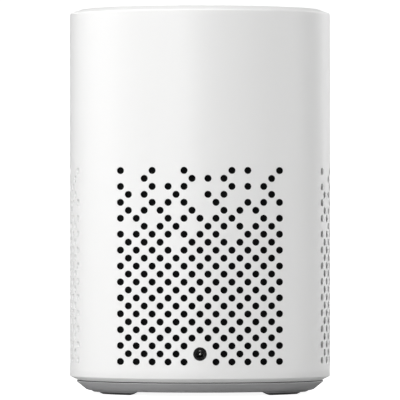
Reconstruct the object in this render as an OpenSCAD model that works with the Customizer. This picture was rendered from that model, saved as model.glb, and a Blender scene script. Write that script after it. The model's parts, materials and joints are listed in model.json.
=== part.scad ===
// Cylindrical smart speaker: a perforated shell over a sealed enclosure with a downward-firing driver,
// a sound reflector below it, the main board above it and four keys on top.
// The floor is z = 0, the front is -Y and the power inlet faces +Y.

/* [Shell] */
// Outside diameter of the shell
body_d = 93.5; // [93:0.5:95]
// Height from the floor to the top rim
body_h = 137.8; // [137:0.2:140]
// Thickness of the shell's wall
shell_wall = 2; // [1.8:0.1:2.2]
// Radius of the rounded top edge
rim_fillet = 0.8; // [0.6:0.1:1]
// Slope of the top rim, which rises inwards from the rounded edge, in degrees
rim_slope = 17; // [14:1:18]

/* [Sound holes] */
// Distance from one column of holes to the next, and from one row to the next
hole_step = 2.81; // [2.75:0.01:2.82]
// Diameter of a sound hole
hole_d = 2.5; // [2.2:0.1:2.5]
// Height of the highest row of holes
hole_top_z = 79.6; // [79:0.2:80]

/* [Keys] */
// Diameter of a key's cap
key_d = 11.6; // [10.6:0.2:11.8]
// Distance from the speaker's axis to the middle of a key
key_ring_r = 21; // [20.5:0.1:21]
// Gap between a key and the panel round it
key_gap = 0.3; // [0.3:0.05:0.4]

/* [Driver] */
// Outside diameter of the driver's mounting flange
driver_d = 63; // [62.6:0.1:63.2]
// Diameter of the cone where it joins the surround
cone_d = 45; // [44.4:0.2:45]

/* [Base] */
// Height of the base above the floor between the feet
base_z = 1.25; // [1.15:0.05:1.35]
// Distance from the speaker's axis to a foot's outer edge on the floor
foot_outer_r = 37; // [36.6:0.1:37.2]
// Half of the angle that a foot spans on the floor, in degrees
foot_half_angle = 14; // [12:0.5:15]
// Height of a foot's rubber
foot_h = 0.75; // [0.65:0.05:0.85]

/* [Power inlet] */
// Diameter of the opening for the socket in the shell
jack_opening_d = 4.8; // [4.8:0.1:5]
// Diameter of the socket's centre pin
jack_pin_d = 0.65; // [0.6:0.05:0.7]

/* [Hidden] */
$fn = 48;
fine = 180;

// Shell
body_r = body_d / 2;
shell_r = body_r - shell_wall;
rim_r = 41.5;
rim_crest_r = 42;
rim_corner_z = body_h - (body_r - rim_crest_r) * tan(rim_slope);
rim_under_z = body_h - 3.8;
shell_foot_z = 6.2;
shell_lip_z = 4.85;
shell_lip_r = 44.1;
seat_r = 43.6;

// Sound holes: the rear and front patches have 21 columns, the side patches 13
row_count = 25;
wide_columns = [for (k = [0 : 20]) k];
narrow_columns = [for (j = [0 : 12]) j < 7 ? j : j + 8];
drill_from_r = 33;
drill_to_r = 49;
jack_row = 23;
middle_column = 10;
// columns left blank in each of the top rows, where the pattern thins out
blank_columns = [
    [2, 6, 10, 12, 18], [1, 5, 7, 15, 17], [2, 10, 12, 20], [5, 9, 15, 17], [2, 10, 14],
    [7, 11, 19], [4, 16], [1, 9], [14], [7],
];

// Cloth sleeve just inside the shell
cloth_r = shell_r - 0.3;
cloth_t = 0.4;
cloth_z0 = 9.3;
cloth_z1 = 84;
cloth_jack_r = 3;

// Top assembly
panel_r = 38.3;
panel_top_z = body_h - 1.4;
ring_top_z = body_h - 0.7;
panel_under_z = body_h - 3.2;
key_board_z = body_h - 9.2;
key_board_t = 1.2;
key_board_top_z = key_board_z + key_board_t;
key_board_r = 41;
panel_boss_r = 2.6;
panel_screw_ring_r = 33;
mic_ring_r = 33;
mic_port_r = 0.5;
mic_h = 1.1;
ring_inner_r = panel_r + 0.3;
ring_outer_r = rim_r - 0.3;
ring_under_z = key_board_top_z + 2;
flange_z = rim_under_z - 1;
frame_outer_r = 43.2;
frame_inner_r = 41.6;
led_count = 12;
led_ring_r = 39.9;

// Keys
key_r = key_d / 2;
key_cap_z0 = panel_under_z - 1.2;
key_cap_z1 = panel_top_z + 0.4;
key_flange_z1 = panel_under_z - 0.4;
key_foot_z = key_board_top_z + 2.6;
switch_w = 6;
switch_h = 1.7;
plunger_r = 1.5;
plunger_z0 = key_board_top_z + 0.9;

// Frame and enclosure
plate_z = key_board_z - 1.5;
plate_inner_r = 30;
cup_top_z = 108;
cup_z0 = 55;
cup_r = 40.5;
cup_wall = 2.2;
cup_lid_t = 2.4;
leg_ring_r = 36.5;
leg_r = 3.2;
leg_bore_r = 2;
leg_floor_z = cup_top_z + 2.5;
baffle_z = 51.2;
baffle_t = 3;
baffle_top_z = baffle_z + baffle_t;
pillar_ring_r = 35.6;
pillar_r = 2.8;

// Driver, firing downwards
driver_r = driver_d / 2;
cone_r = cone_d / 2;
driver_cut_r = 27.5;
driver_seal_t = 0.6;
flange_top_z = baffle_z - driver_seal_t;
driver_flange_z = flange_top_z - 2;
driver_screw_r = 29.6;
basket_top_z = driver_flange_z + 17.6;
top_plate_t = 3;
magnet_t = 10;
magnet_r = 25;
yoke_t = 4;
top_plate_z1 = basket_top_z + top_plate_t;
magnet_z1 = top_plate_z1 + magnet_t;
pole_r = 9;
gap_r = 10.4;
former_r = 9.45;
former_t = 0.15;
coil_t = 0.5;
cone_edge_z = driver_flange_z + 0.3;
cone_neck_z = driver_flange_z + 9;
cone_t = 0.4;
roll_r = 1.85;
roll_t = 0.4;
spider_z = driver_flange_z + 11.4;
spider_r = 22.6;
terminal_z0 = driver_flange_z + 11.8;
terminal_z1 = driver_flange_z + 17;

// Sound reflector and base
reflector_z = 8.6;
reflector_t = 2;
reflector_r = 43;
horn_r = 33;
horn_h = 27.4;
horn_power = 1.8;
horn_steps = 24;
base_floor_z = 3.4;
base_flange_z = 4.55;
base_flange_h = 0.25;
base_flange_r = 44.4;
base_spigot_r = 43.25;
base_spigot_z = 8.2;
base_screw_ring_r = 27.5;
foot_inner_r = foot_outer_r - 7;
foot_pocket_z = 2.2;
foot_angles = [34, 146, 270];
foot_end_slope = 64;
foot_end_turn = 36;

// Power inlet
jack_z = hole_top_z - jack_row * hole_step;
jack_body_w = 9;
jack_back_y = 33;
jack_face_y = 43.4;
jack_nose_y = body_r - 0.6;
jack_nose_r = 2.1;
jack_bore_r = 1.3;
jack_mouth_chamfer = 0.15;
jack_root_r = 0.82;
jack_contact_w = 0.8;
jack_pin_y0 = 36.5;
jack_pin_y1 = 44.9;
jack_board_z = 9.1;
jack_board_t = 1.6;
jack_board_top_z = jack_board_z + jack_board_t;
jack_board_w = 23;
jack_board_y0 = 31.8;
jack_board_y1 = 42.2;
jack_screw_x = 9.3;
jack_screw_y = 34.8;

// Main board and its leads
board_z = 112;
board_t = 1.2;
board_top_z = board_z + board_t;
board_w = 62;
board_d = 44;
board_screw_x = 26;
board_screw_y = 17;
lead_d = 1.3;
lead_pitch = 1.6;
lead_z = board_top_z + 2;
speaker_lead_x = -6;
speaker_lead_y = 26;
power_lead_x = 9;
power_lead_y = 41.1;
lead_bend_r = 3;
ribbon_w = 10;
ribbon_t = 0.3;
ribbon_bend_r = 4;
coax_d = 1.1;
coax_x = -40.6;
coax_y = 8;

// Screws
m2_r = 0.95;
m2_hole_r = 1.05;
m2_head_r = 1.8;
m2_head_h = 1.5;

// Repeats its children at the given angles, out at a distance from the axis
module around(angles, distance) {
    for (a = angles)
        rotate([0, 0, a])
            translate([distance, 0, 0])
                children();
}

// Disc or rod standing on the height z0
module disc(r, z0, z1, sides = 48) {
    translate([0, 0, z0])
        cylinder(h = z1 - z0, r = r, $fn = sides);
}

// Flat ring between two radii and two heights
module ring(r_in, r_out, z0, z1, sides = fine) {
    rotate_extrude($fn = sides)
        translate([r_in, z0])
            square([r_out - r_in, z1 - z0]);
}

// Piece of a turned ring round the angle 0; its ends close in towards the axis and slope outwards as they rise
module arc_piece(half_angle, end_slope) {
    difference() {
        intersection() {
            rotate_extrude($fn = fine)
                children();
            translate([20, -20, -5])
                cube([30, 40, 15]);
        }
        for (side = [-1, 1])
            rotate([0, 0, side * half_angle])
                translate([foot_outer_r, 0, 0])
                    rotate([-side * end_slope, 0, side * foot_end_turn])
                        translate([-25, side > 0 ? 0 : -22, -10])
                            cube([50, 22, 42]);
    }
}

// Box centred on x and y and standing on the height z0
module block(w, d, z0, z1) {
    translate([-w / 2, -d / 2, z0])
        cube([w, d, z1 - z0]);
}

// Pan-head screw with its head on top of the height z and its shank below
module screw(z, length, r = m2_r, head_r = m2_head_r, head_h = m2_head_h) {
    difference() {
        disc(head_r, z, z + head_h, 32);
        screw_cross(z + head_h, head_r);
    }
    disc(r, z - length, z, 32);
}

// Cross-shaped recess in the top of a screw's head
module screw_cross(z, head_r) {
    for (a = [0, 90])
        rotate([0, 0, a])
            block(head_r * 1.2, 0.4, z - 0.6, z + 0.1);
}

// Screw with its head below the height z and its shank above
module screw_up(z, length, r = m2_r, head_r = m2_head_r, head_h = m2_head_h) {
    translate([0, 0, z])
        mirror([0, 0, 1])
            screw(0, length, r, head_r, head_h);
}

// Lead in the plane of y and z: up from z0 at y_up, a bend, then inwards to y_end at the height z_out
module lead_up_and_in(d, y_up, z0, z_out, y_end, bend_r) {
    translate([0, y_up, 0])
        disc(d / 2, z0, z_out - bend_r, 24);
    translate([0, y_up - bend_r, z_out - bend_r])
        rotate([90, 0, 90])
            rotate_extrude(angle = 90, $fn = 96)
                translate([bend_r, 0])
                    circle(d = d, $fn = 24);
    translate([0, y_end, z_out])
        rotate([-90, 0, 0])
            cylinder(h = y_up - bend_r - y_end, d = d, $fn = 24);
}

// Sound holes
function is_blank(k, row) =
    row < len(blank_columns) && len([for (b = blank_columns[row]) if (b == k) b]) > 0;
function is_taken_by_jack(k, row) = abs(k - middle_column) + abs(row - jack_row) < 2;
function is_drilled(k, row, jack) =
    (k + row) % 2 == 0 && !is_blank(k, row) && !(jack && is_taken_by_jack(k, row));

// One patch of holes, all drilled parallel to the patch's own outward direction
module hole_patch(columns, turn, jack = false) {
    middle = (len(columns) - 1) / 2;
    rotate([0, 0, turn])
        for (row = [0 : row_count - 1])
            for (c = [0 : len(columns) - 1])
                if (is_drilled(columns[c], row, jack))
                    translate([(middle - c) * hole_step, drill_from_r, hole_top_z - row * hole_step])
                        rotate([-90, 0, 0])
                            cylinder(h = drill_to_r - drill_from_r, d = hole_d, $fn = 24);
}

// What the rounded edge leaves out where the wall meets the sloping rim
module rim_rounding() {
    turn = 90 - rim_slope;
    reach = rim_fillet + 1;
    translate([body_r - rim_fillet, rim_corner_z - rim_fillet * tan(turn / 2)])
        difference() {
            polygon([[0, 0], [reach, 0], [reach, reach], [reach * cos(turn), reach * sin(turn)]]);
            circle(rim_fillet, $fn = 64);
        }
}

module shell_outline() {
    difference() {
        polygon([
            [seat_r, shell_lip_z], [shell_lip_r, shell_lip_z], [body_r, shell_foot_z],
            [body_r, rim_corner_z], [rim_crest_r, body_h], [rim_r, body_h],
            [rim_r, rim_under_z], [shell_r, rim_under_z], [shell_r, 9], [seat_r, 7.9],
        ]);
        rim_rounding();
    }
}

module outer_shell() {
    color("white")
        difference() {
            rotate_extrude($fn = fine)
                shell_outline();
            hole_patch(wide_columns, 0, jack = true);
            hole_patch(wide_columns, 180);
            hole_patch(narrow_columns, 90);
            hole_patch(narrow_columns, 270);
            translate([0, drill_from_r, jack_z])
                rotate([-90, 0, 0])
                    cylinder(h = drill_to_r - drill_from_r, d = jack_opening_d);
        }
}

module grille_cloth() {
    color("dimgray")
        difference() {
            ring(cloth_r - cloth_t, cloth_r, cloth_z0, cloth_z1);
            translate([0, drill_from_r, jack_z])
                rotate([-90, 0, 0])
                    cylinder(h = drill_to_r - drill_from_r, r = cloth_jack_r);
        }
}

// Top panel with the key holes, the microphone ports and four bosses below
module top_panel() {
    color("whitesmoke")
        difference() {
            union() {
                disc(panel_r, panel_under_z, panel_top_z, fine);
                around([45 : 90 : 315], panel_screw_ring_r)
                    disc(panel_boss_r, key_board_top_z, panel_under_z + 0.1);
            }
            around([0 : 90 : 270], key_ring_r)
                disc(key_r + key_gap, panel_under_z - 1, body_h);
            around([0 : 90 : 270], mic_ring_r)
                disc(mic_port_r, panel_under_z - 1, body_h, 24);
            around([45 : 90 : 315], panel_screw_ring_r)
                disc(m2_hole_r, key_board_top_z - 1, panel_under_z, 32);
        }
}

module light_ring() {
    color("aliceblue")
        rotate_extrude($fn = fine)
            polygon([
                [ring_inner_r, ring_under_z], [ring_outer_r, ring_under_z],
                [ring_outer_r, flange_z], [frame_outer_r, flange_z],
                [frame_outer_r, rim_under_z], [ring_outer_r, rim_under_z],
                [ring_outer_r, ring_top_z], [ring_inner_r, ring_top_z],
            ]);
}

// Key cap with a flange under the panel and a stem down to its switch
module key_at(angle) {
    color("whitesmoke")
        around([angle], key_ring_r) {
            disc(key_r, key_cap_z0, key_cap_z1 - 0.3);
            translate([0, 0, key_cap_z1 - 0.3])
                cylinder(h = 0.3, r1 = key_r, r2 = key_r - 0.3);
            disc(key_r + 1, key_cap_z0 - 0.4, key_flange_z1 - 0.2);
            disc(1.8, key_foot_z, key_cap_z0, 32);
        }
}

module plunger_at(angle) {
    color("black")
        around([angle], key_ring_r)
            disc(plunger_r, plunger_z0, key_foot_z, 32);
}

module key_volume_up() { key_at(0); }
module key_action() { key_at(90); }
module key_volume_down() { key_at(180); }
module key_mic_mute() { key_at(270); }
module plunger_volume_up() { plunger_at(0); }
module plunger_action() { plunger_at(90); }
module plunger_volume_down() { plunger_at(180); }
module plunger_mic_mute() { plunger_at(270); }

module key_switches() {
    color("silver")
        around([0 : 90 : 270], key_ring_r)
            difference() {
                block(switch_w, switch_w, key_board_top_z, key_board_top_z + switch_h);
                disc(plunger_r + 0.1, key_board_top_z + 0.3, key_board_top_z + switch_h + 1, 32);
            }
}

module key_board() {
    color("darkgreen")
        difference() {
            disc(key_board_r, key_board_z, key_board_top_z, fine);
            around([45 : 90 : 315], panel_screw_ring_r)
                disc(m2_hole_r, key_board_z - 1, key_board_top_z + 1, 32);
        }
}

module ring_leds() {
    color("lightyellow")
        around([for (i = [0 : led_count - 1]) i * 360 / led_count + 15], led_ring_r)
            block(1.6, 1.6, key_board_top_z, key_board_top_z + 1);
}

module microphones() {
    color("gold")
        around([0 : 90 : 270], mic_ring_r)
            difference() {
                block(3, 3.8, key_board_top_z, key_board_top_z + mic_h);
                disc(mic_port_r, key_board_top_z + 0.3, key_board_top_z + mic_h + 1, 24);
            }
}

module mic_seals() {
    color("black")
        around([0 : 90 : 270], mic_ring_r)
            difference() {
                disc(2.2, key_board_top_z + mic_h, panel_under_z, 32);
                disc(0.8, key_board_top_z, panel_under_z + 1, 24);
            }
}

// Screws from below through the frame's plate and the key board into the panel's bosses
module panel_screws() {
    color("silver")
        around([45 : 90 : 315], panel_screw_ring_r)
            screw_up(plate_z, 6.5);
}

// Frame on four legs that presses the light ring's flange up against the shell's rim
module top_frame() {
    color("gray")
        difference() {
            union() {
                ring(frame_inner_r, frame_outer_r, plate_z, flange_z);
                ring(plate_inner_r, frame_outer_r, plate_z, key_board_z);
                around([0 : 90 : 270], leg_ring_r)
                    disc(leg_r, cup_top_z, plate_z + 0.1);
            }
            around([0 : 90 : 270], leg_ring_r) {
                disc(leg_bore_r, leg_floor_z, key_board_z + 1, 32);
                disc(m2_hole_r, cup_top_z - 1, leg_floor_z + 1, 32);
            }
            around([45 : 90 : 315], panel_screw_ring_r)
                disc(m2_hole_r, plate_z - 1, key_board_z + 1, 32);
        }
}

module frame_screws() {
    color("silver")
        around([0 : 90 : 270], leg_ring_r)
            screw(leg_floor_z, 7);
}

module board_corners() {
    for (x = [-1, 1])
        for (y = [-1, 1])
            translate([x * board_screw_x, y * board_screw_y, 0])
                children();
}

module jack_screw_places() {
    for (x = [-1, 1])
        translate([x * jack_screw_x, jack_screw_y, 0])
            children();
}

module main_board() {
    color("green")
        difference() {
            block(board_w, board_d, board_z, board_top_z);
            board_corners()
                disc(m2_hole_r, board_z - 1, board_top_z + 1, 32);
            translate([speaker_lead_x, speaker_lead_y, 0])
                block(8, 10, board_z - 1, board_top_z + 1);
        }
}

// The same short screw holds the main board and the inlet's board
module board_screws() {
    color("silver") {
        board_corners()
            screw(board_top_z, 4);
        jack_screw_places()
            screw(jack_board_top_z, 4);
    }
}

module board_chips() {
    color("black") {
        translate([-2, -4, 0])
            block(13, 13, board_top_z, board_top_z + 1.2);
        translate([9, -8, 0])
            block(6, 9, board_top_z, board_top_z + 1);
        translate([9, 1.5, 0])
            block(6, 7, board_top_z, board_top_z + 0.8);
        translate([21, -10, 0])
            block(7, 7, board_top_z, board_top_z + 1);
    }
}

// Tin can over the processor and its memory
module shield_can() {
    color("silver")
        translate([2.2, -3.5, 0])
            difference() {
                block(24, 19, board_top_z, board_top_z + 2.6);
                block(23.6, 18.6, board_top_z - 1, board_top_z + 2.4);
            }
}

module wifi_module() {
    color("lightgray")
        translate([-22, 0, 0]) {
            block(15, 22, board_top_z, board_top_z + 0.8);
            translate([0.6, -2, 0])
                block(12, 16, board_top_z + 0.8, board_top_z + 2.4);
        }
}

module power_inductors() {
    color("dimgray")
        for (y = [-1, 8])
            translate([21, y, 0])
                block(6.6, 6.6, board_top_z, board_top_z + 3);
}

module capacitors() {
    color("silver")
        for (x = [13, 19])
            translate([x, -18, 0])
                disc(2.5, board_top_z, board_top_z + 5.4, 32);
}

// Sockets for the speaker lead, the power lead and the two ends of the ribbon cable
module board_connectors() {
    color("ivory") {
        for (x = [speaker_lead_x, power_lead_x])
            translate([x, 18, 0])
                block(5.5, 5, board_top_z, board_top_z + 4);
        translate([0, -18.5, 0])
            block(ribbon_w + 3, 4, board_top_z, board_top_z + 2.2);
        translate([0, -18.5, 0])
            block(ribbon_w + 3, 4, key_board_z - 2.2, key_board_z);
    }
}

// Quarter of a flat ring in two dimensions, for a bend in the ribbon
module ribbon_bend() {
    intersection() {
        difference() {
            circle(ribbon_bend_r + ribbon_t / 2);
            circle(ribbon_bend_r - ribbon_t / 2);
        }
        square(ribbon_bend_r + 1);
    }
}

// Flat cable out of the main board's socket, up, and back into the socket under the key board
module ribbon_cable() {
    socket_y = -20.5;
    low_z = board_top_z + 1.1;
    high_z = key_board_z - 1.1;
    straight = 2;
    back_y = socket_y - straight - ribbon_bend_r;
    color("white")
        translate([-ribbon_w / 2, 0, 0])
            rotate([90, 0, 90])
                linear_extrude(ribbon_w)
                    union() {
                        for (z = [low_z, high_z])
                            translate([socket_y - straight, z - ribbon_t / 2])
                                square([straight, ribbon_t]);
                        translate([socket_y - straight, high_z - ribbon_bend_r])
                            mirror([1, 0])
                                ribbon_bend();
                        translate([socket_y - straight, low_z + ribbon_bend_r])
                            mirror([1, 0])
                                mirror([0, 1])
                                    ribbon_bend();
                        translate([back_y - ribbon_t / 2, low_z + ribbon_bend_r])
                            square([ribbon_t, high_z - low_z - 2 * ribbon_bend_r]);
                    }
}

// Printed strip antenna on the outside of the enclosure
module antenna() {
    color("goldenrod")
        rotate([0, 0, 160])
            rotate_extrude(angle = 40, $fn = fine)
                translate([cup_r, 88])
                    square([0.25, 9]);
}

module antenna_lead() {
    color("black")
        translate([0, coax_y, 0])
            rotate([0, 0, 90])
                lead_up_and_in(coax_d, -coax_x, 92, board_top_z + 0.4 + coax_d / 2, 29.5, lead_bend_r);
}

// Upside-down cup that seals the air behind the driver
module enclosure_cup() {
    color("slategray")
        difference() {
            union() {
                difference() {
                    disc(cup_r, cup_z0, cup_top_z, fine);
                    disc(cup_r - cup_wall, cup_z0 - 1, cup_top_z - cup_lid_t, fine);
                }
                intersection() {
                    around([0 : 90 : 270], leg_ring_r)
                        disc(2.8, cup_top_z - 9, cup_top_z - 1);
                    disc(cup_r - 0.5, 0, cup_top_z - 0.5, fine);
                }
                around([0 : 90 : 270], pillar_ring_r)
                    disc(pillar_r, cup_z0, cup_z0 + 9);
                board_corners()
                    disc(2.5, cup_top_z - 1, board_z);
            }
            around([0 : 90 : 270], leg_ring_r)
                disc(m2_hole_r, cup_top_z - 7, cup_top_z + 1, 32);
            around([0 : 90 : 270], pillar_ring_r)
                disc(m2_hole_r, cup_z0 - 1, cup_z0 + 8, 32);
            board_corners()
                disc(m2_hole_r, cup_top_z - 1.2, board_z + 1, 32);
            translate([speaker_lead_x, speaker_lead_y, 0])
                disc(2.8, cup_top_z - cup_lid_t - 1, cup_top_z + 1, 32);
        }
}

module enclosure_baffle() {
    color("slategray")
        difference() {
            ring(driver_cut_r, cup_r, baffle_z, baffle_top_z);
            around([0 : 45 : 315], pillar_ring_r)
                disc(m2_hole_r, baffle_z - 1, baffle_top_z + 1, 32);
            around([45 : 90 : 315], driver_screw_r)
                disc(0.85, baffle_z - 1, baffle_top_z + 1, 32);
        }
}

module enclosure_seal() {
    color("black")
        ring(cup_r - cup_wall + 0.1, cup_r - 0.1, baffle_top_z, cup_z0);
}

// Four screws go up into the cup, and four go down into the reflector's pillars
module enclosure_screws() {
    color("silver") {
        around([0 : 90 : 270], pillar_ring_r)
            screw_up(baffle_z, 9);
        around([45 : 90 : 315], pillar_ring_r)
            screw(baffle_top_z, 9);
    }
}

// Two wires from the driver's terminals, through the grommet, to the main board
module speaker_lead() {
    color("firebrick")
        for (side = [-1, 1])
            translate([speaker_lead_x + side * lead_pitch / 2, 0, 0])
                lead_up_and_in(lead_d, speaker_lead_y, terminal_z0 + 1, lead_z, 20.5, lead_bend_r);
}

module lead_grommet() {
    grip_z0 = cup_top_z - cup_lid_t;
    color("black")
        translate([speaker_lead_x, speaker_lead_y, 0])
            difference() {
                rotate_extrude()
                    polygon([
                        [0, grip_z0 - 1], [3.4, grip_z0 - 1], [3.4, grip_z0], [2.75, grip_z0],
                        [2.75, cup_top_z], [3.4, cup_top_z], [3.4, cup_top_z + 1], [0, cup_top_z + 1],
                    ]);
                for (side = [-1, 1])
                    translate([side * lead_pitch / 2, 0, 0])
                        disc(lead_d / 2 + 0.02, grip_z0 - 2, cup_top_z + 2, 24);
            }
}

// Pressed basket: a flange, a tapering wall with four windows and a rim under the top plate
module driver_basket() {
    z = driver_flange_z;
    color("darkgray")
        difference() {
            union() {
                rotate_extrude($fn = fine)
                    polygon([
                        [26.4, z], [driver_r, z], [driver_r, z + 2], [27.2, z + 2], [26.2, z + 8.4],
                        [23.6, z + 14.5], [22.6, z + 17.6], [gap_r + 0.4, z + 17.6],
                        [gap_r + 0.4, z + 16.4], [21.6, z + 16.4], [22.8, z + 13], [22.8, z + 12],
                        [21.6, z + 12], [21.6, z + 11.6], [23.4, z + 11.6], [25, z + 8], [26, z + 1.6],
                    ]);
                difference() {
                    translate([speaker_lead_x, 23, 0])
                        block(6, 3.2, terminal_z0, terminal_z1);
                    disc(23.4, z, z + 20);
                }
            }
            around([45 : 90 : 315], driver_screw_r)
                disc(0.85, z - 1, z + 3, 32);
            around([20 : 90 : 290], 22)
                block(16, 14, z + 3, z + 10.6);
        }
}

module driver_gasket() {
    color("black")
        difference() {
            ring(driver_cut_r + 0.1, driver_r - 0.1, flange_top_z, baffle_z);
            around([45 : 90 : 315], driver_screw_r)
                disc(0.95, flange_top_z - 1, baffle_z + 1, 32);
        }
}

module driver_screws() {
    color("black")
        around([45 : 90 : 315], driver_screw_r)
            screw_up(driver_flange_z, 5, r = 0.75, head_r = 1.45, head_h = 1.1);
}

module driver_top_plate() {
    color("silver")
        ring(gap_r, 23, basket_top_z, top_plate_z1);
}

module driver_magnet() {
    color("dimgray")
        ring(12.5, magnet_r, top_plate_z1, magnet_z1);
}

// Back plate with the pole that stands inside the voice coil
module driver_yoke() {
    color("silver")
        difference() {
            union() {
                disc(23.5, magnet_z1, magnet_z1 + yoke_t, fine);
                disc(pole_r, basket_top_z, magnet_z1 + 0.1, 96);
            }
            disc(2, basket_top_z - 1, magnet_z1 + yoke_t + 1, 32);
        }
}

module driver_terminal() {
    color("saddlebrown")
        translate([speaker_lead_x, 24.95, 0])
            block(6, 0.7, terminal_z0, terminal_z1);
}

// Half roll of rubber between the cone and the flange
module driver_surround() {
    mid_r = cone_r + roll_r;
    color("black")
        rotate_extrude($fn = fine) {
            translate([mid_r, driver_flange_z])
                difference() {
                    circle(roll_r);
                    circle(roll_r - roll_t);
                    translate([-5, 0])
                        square([10, 5]);
                }
            translate([mid_r + roll_r - roll_t, driver_flange_z - roll_t])
                square([1.8, roll_t]);
            translate([cone_r - 1.2, driver_flange_z - roll_t])
                square([1.2 + roll_t, roll_t]);
        }
}

// Corrugated cloth ring that centres the coil
module driver_spider() {
    wave = 0.6;
    inner = former_r + 0.05;
    points = 30;
    function rise(i) = wave * sin(i * 360 * 4 / points);
    function at(i) = inner + (spider_r - 1 - inner) * i / points;
    color("tan")
        rotate_extrude($fn = fine)
            polygon(concat(
                [for (i = [0 : points]) [at(i), spider_z + rise(i)]],
                [[spider_r, spider_z], [spider_r, spider_z + 0.2]],
                [for (i = [points : -1 : 0]) [at(i), spider_z + rise(i) + 0.2]]
            ));
}

// Paper cone with a gentle flare
module driver_cone() {
    steps = 16;
    function cone_radius(t) = former_r + 0.02 + (cone_r - former_r) * t;
    function cone_z(t) = cone_neck_z - (cone_neck_z - cone_edge_z) * pow(t, 0.8);
    color("dimgray")
        rotate_extrude($fn = fine)
            polygon(concat(
                [for (i = [0 : steps]) [cone_radius(i / steps), cone_z(i / steps)]],
                [for (i = [steps : -1 : 0]) [cone_radius(i / steps), cone_z(i / steps) + cone_t]]
            ));
}

module dust_cap() {
    cap_r = 10.6;
    cap_rise = 2.6;
    cap_t = 0.3;
    cap_z = cone_neck_z - 1.4;
    steps = 12;
    color("dimgray")
        rotate_extrude($fn = fine)
            polygon(concat(
                [for (i = [0 : steps]) [cap_r * i / steps, cap_z - cap_rise * (1 - pow(i / steps, 2))]],
                [for (i = [steps : -1 : 0])
                    [(cap_r - cap_t) * i / steps, cap_z + cap_t - cap_rise * (1 - pow(i / steps, 2))]]
            ));
}

module coil_former() {
    color("goldenrod")
        ring(former_r - former_t, former_r, cone_neck_z, top_plate_z1 + 1.6, 96);
}

module voice_coil() {
    color("peru")
        ring(former_r, former_r + coil_t, basket_top_z - 1, top_plate_z1 + 1, 96);
}

// Plate with a flared cone that turns the sound outwards, and four pillars up to the baffle
module sound_reflector() {
    plate_top_z = reflector_z + reflector_t;
    wall = 1.8;
    function horn_z(r) = plate_top_z + horn_h * pow(1 - r / horn_r, horn_power);
    color("dimgray")
        difference() {
            union() {
                rotate_extrude($fn = fine)
                    polygon(concat(
                        [for (i = [0 : horn_steps]) [horn_r * i / horn_steps, horn_z(horn_r * i / horn_steps)]],
                        [[reflector_r, plate_top_z], [reflector_r, reflector_z], [0, reflector_z]]
                    ));
                around([45 : 90 : 315], pillar_ring_r)
                    disc(pillar_r, plate_top_z - 1, baffle_z);
                around([90, 210, 330], base_screw_ring_r)
                    disc(3, 5, reflector_z + 0.1);
            }
            rotate_extrude($fn = fine)
                polygon(concat(
                    [for (i = [0 : horn_steps - 2]) let (r = (horn_r - 10) * i / (horn_steps - 2))
                        [r, horn_z(r) - wall - (r > 0 ? 0.4 : 0)]],
                    [[horn_r - 10, reflector_z - 1], [0, reflector_z - 1]]
                ));
            around([45 : 90 : 315], pillar_ring_r)
                disc(m2_hole_r, baffle_z - 9, baffle_z + 1, 32);
            around([90, 210, 330], base_screw_ring_r)
                disc(1.25, 4, 9.6, 32);
            translate([0, jack_board_y0 - 0.6 + 10, 0])
                block(jack_board_w + 1, 20, reflector_z - 1, plate_top_z + 1);
        }
}

// Barrel socket on its board; the nose reaches into the shell's opening
module jack_body() {
    color("black")
        difference() {
            union() {
                translate([0, (jack_back_y + jack_face_y) / 2, 0])
                    block(jack_body_w, jack_face_y - jack_back_y, jack_board_top_z, jack_z + 4.5);
                translate([0, jack_face_y - 1, jack_z])
                    rotate([-90, 0, 0])
                        cylinder(h = jack_nose_y - jack_face_y + 1, r = jack_nose_r);
            }
            translate([0, jack_pin_y0, jack_z])
                rotate([-90, 0, 0])
                    cylinder(h = 20, r = jack_bore_r);
            translate([0, jack_nose_y - jack_mouth_chamfer, jack_z])
                rotate([-90, 0, 0])
                    cylinder(
                        h = 2 * jack_mouth_chamfer,
                        r1 = jack_bore_r,
                        r2 = jack_bore_r + 2 * jack_mouth_chamfer
                    );
            translate([0, jack_back_y - 1, jack_z])
                rotate([-90, 0, 0])
                    cylinder(h = 20, r = jack_root_r);
        }
}

module jack_pin() {
    color("silver")
        translate([0, jack_back_y, jack_z])
            rotate([-90, 0, 0]) {
                cylinder(h = jack_pin_y0 - jack_back_y, r = jack_root_r - 0.02);
                translate([0, 0, jack_pin_y0 - jack_back_y])
                    cylinder(h = jack_pin_y1 - jack_pin_y0, d = jack_pin_d);
                translate([0, 0, jack_pin_y1 - jack_back_y])
                    cylinder(h = 0.3, d1 = jack_pin_d, d2 = jack_pin_d / 2);
            }
}

// Leaf contact against the roof of the socket's bore
module jack_contact() {
    color("silver")
        intersection() {
            translate([0, jack_pin_y0 + 3, jack_z + jack_bore_r])
                block(jack_contact_w, 5, -0.35, 0);
            translate([0, jack_pin_y0, jack_z])
                rotate([-90, 0, 0])
                    cylinder(h = 20, r = jack_bore_r - 0.02);
        }
}

module jack_board() {
    color("darkgreen")
        difference() {
            translate([0, (jack_board_y0 + jack_board_y1) / 2, 0])
                block(jack_board_w, jack_board_y1 - jack_board_y0, jack_board_z, jack_board_top_z);
            jack_screw_places()
                disc(m2_hole_r, jack_board_z - 1, jack_board_top_z + 1, 32);
        }
}

// Two wires from the inlet's board, up between the enclosure and the cloth, to the main board
module power_lead() {
    color("black")
        for (side = [-1, 1])
            translate([power_lead_x + side * lead_pitch / 2, 0, 0])
                lead_up_and_in(lead_d, power_lead_y, jack_board_top_z, lead_z, 20.5, lead_bend_r);
}

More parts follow.
